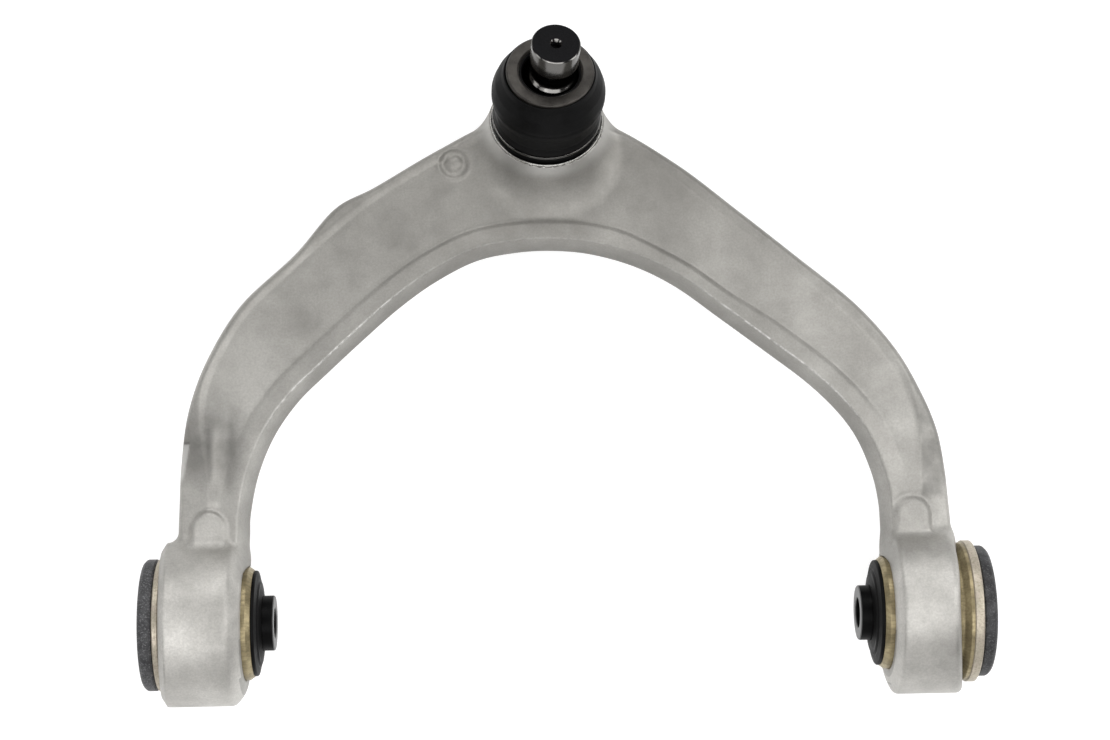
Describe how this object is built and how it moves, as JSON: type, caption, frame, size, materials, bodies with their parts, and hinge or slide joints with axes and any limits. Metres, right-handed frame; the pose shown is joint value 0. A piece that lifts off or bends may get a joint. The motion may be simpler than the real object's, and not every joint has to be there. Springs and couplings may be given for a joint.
{
  "type": "upper control arm",
  "caption": "Arched forged suspension arm with a rubber bush at each foot and a booted pinch-pin ball joint at the apex.",
  "frame": {"origin": "on the common axis of the two bushes, midway between them", "axes": "+X along the bush axis, +Y towards the ball joint, +Z to the side the ball stud stands on"},
  "size_m": [0.352, 0.273, 0.0967],
  "materials": {
    "forged_aluminium": "shot-blasted forging, matt warm grey",
    "zinc_steel": "yellow-passivated zinc plating",
    "black_steel": "black coated steel, semi-matt",
    "dark_steel": "phosphated turned steel",
    "bright_steel": "ground and polished hardened steel",
    "rubber": "moulded black rubber, satin",
    "bearing_polymer": "natural acetal"
  },
  "bodies": {
    "arm": {"control_arm": "forged_aluminium", "bearing_shell": "bearing_polymer", "preload_ring": "dark_steel", "cover_plate": "dark_steel", "boot_lower_clip": "bright_steel", "left_outer_sleeve": "zinc_steel", "left_bush_rubber": "rubber", "right_outer_sleeve": "zinc_steel", "right_bush_rubber": "rubber"},
    "left_sleeve": {"left_inner_sleeve": "black_steel", "left_stop_plate": "black_steel", "left_stop_ring": "rubber"},
    "right_sleeve": {"right_inner_sleeve": "black_steel", "right_stop_plate": "black_steel", "right_stop_ring": "rubber"},
    "boot_body": {"boot": "rubber"},
    "boot_top": {"boot_ring": "dark_steel", "boot_seal": "rubber"},
    "stud": {"ball_stud": "bright_steel"}
  },
  "joints": [
    {"name": "left_bush_twist", "type": "hinge", "parent": "arm", "child": "left_sleeve", "pos_m": [-0.14875, 0, 0], "axis": [1, 0, 0], "range_deg": [-22, 22], "stiffness_Nm_per_rad": 60},
    {"name": "right_bush_twist", "type": "hinge", "parent": "arm", "child": "right_sleeve", "pos_m": [0.14875, 0, 0], "axis": [1, 0, 0], "range_deg": [-22, 22], "stiffness_Nm_per_rad": 60},
    {"name": "ball_rock", "type": "hinge", "parent": "arm", "child": "boot_body", "pos_m": [-0.0055, 0.2027, 0.002], "axis": [1, 0, 0], "range_deg": [-22, 22], "deforming": ["boot"]},
    {"name": "ball_tilt", "type": "hinge", "parent": "boot_body", "child": "boot_top", "pos_m": [-0.0055, 0.2027, 0.002], "axis": [0, 0.8988, -0.4384], "range_deg": [-18, 12], "deforming": ["boot"]},
    {"name": "stud_spin", "type": "hinge", "parent": "boot_top", "child": "stud", "pos_m": [-0.0055, 0.2027, 0.002], "axis": [0.0523, 0.4378, 0.8976], "continuous": true}
  ]
}
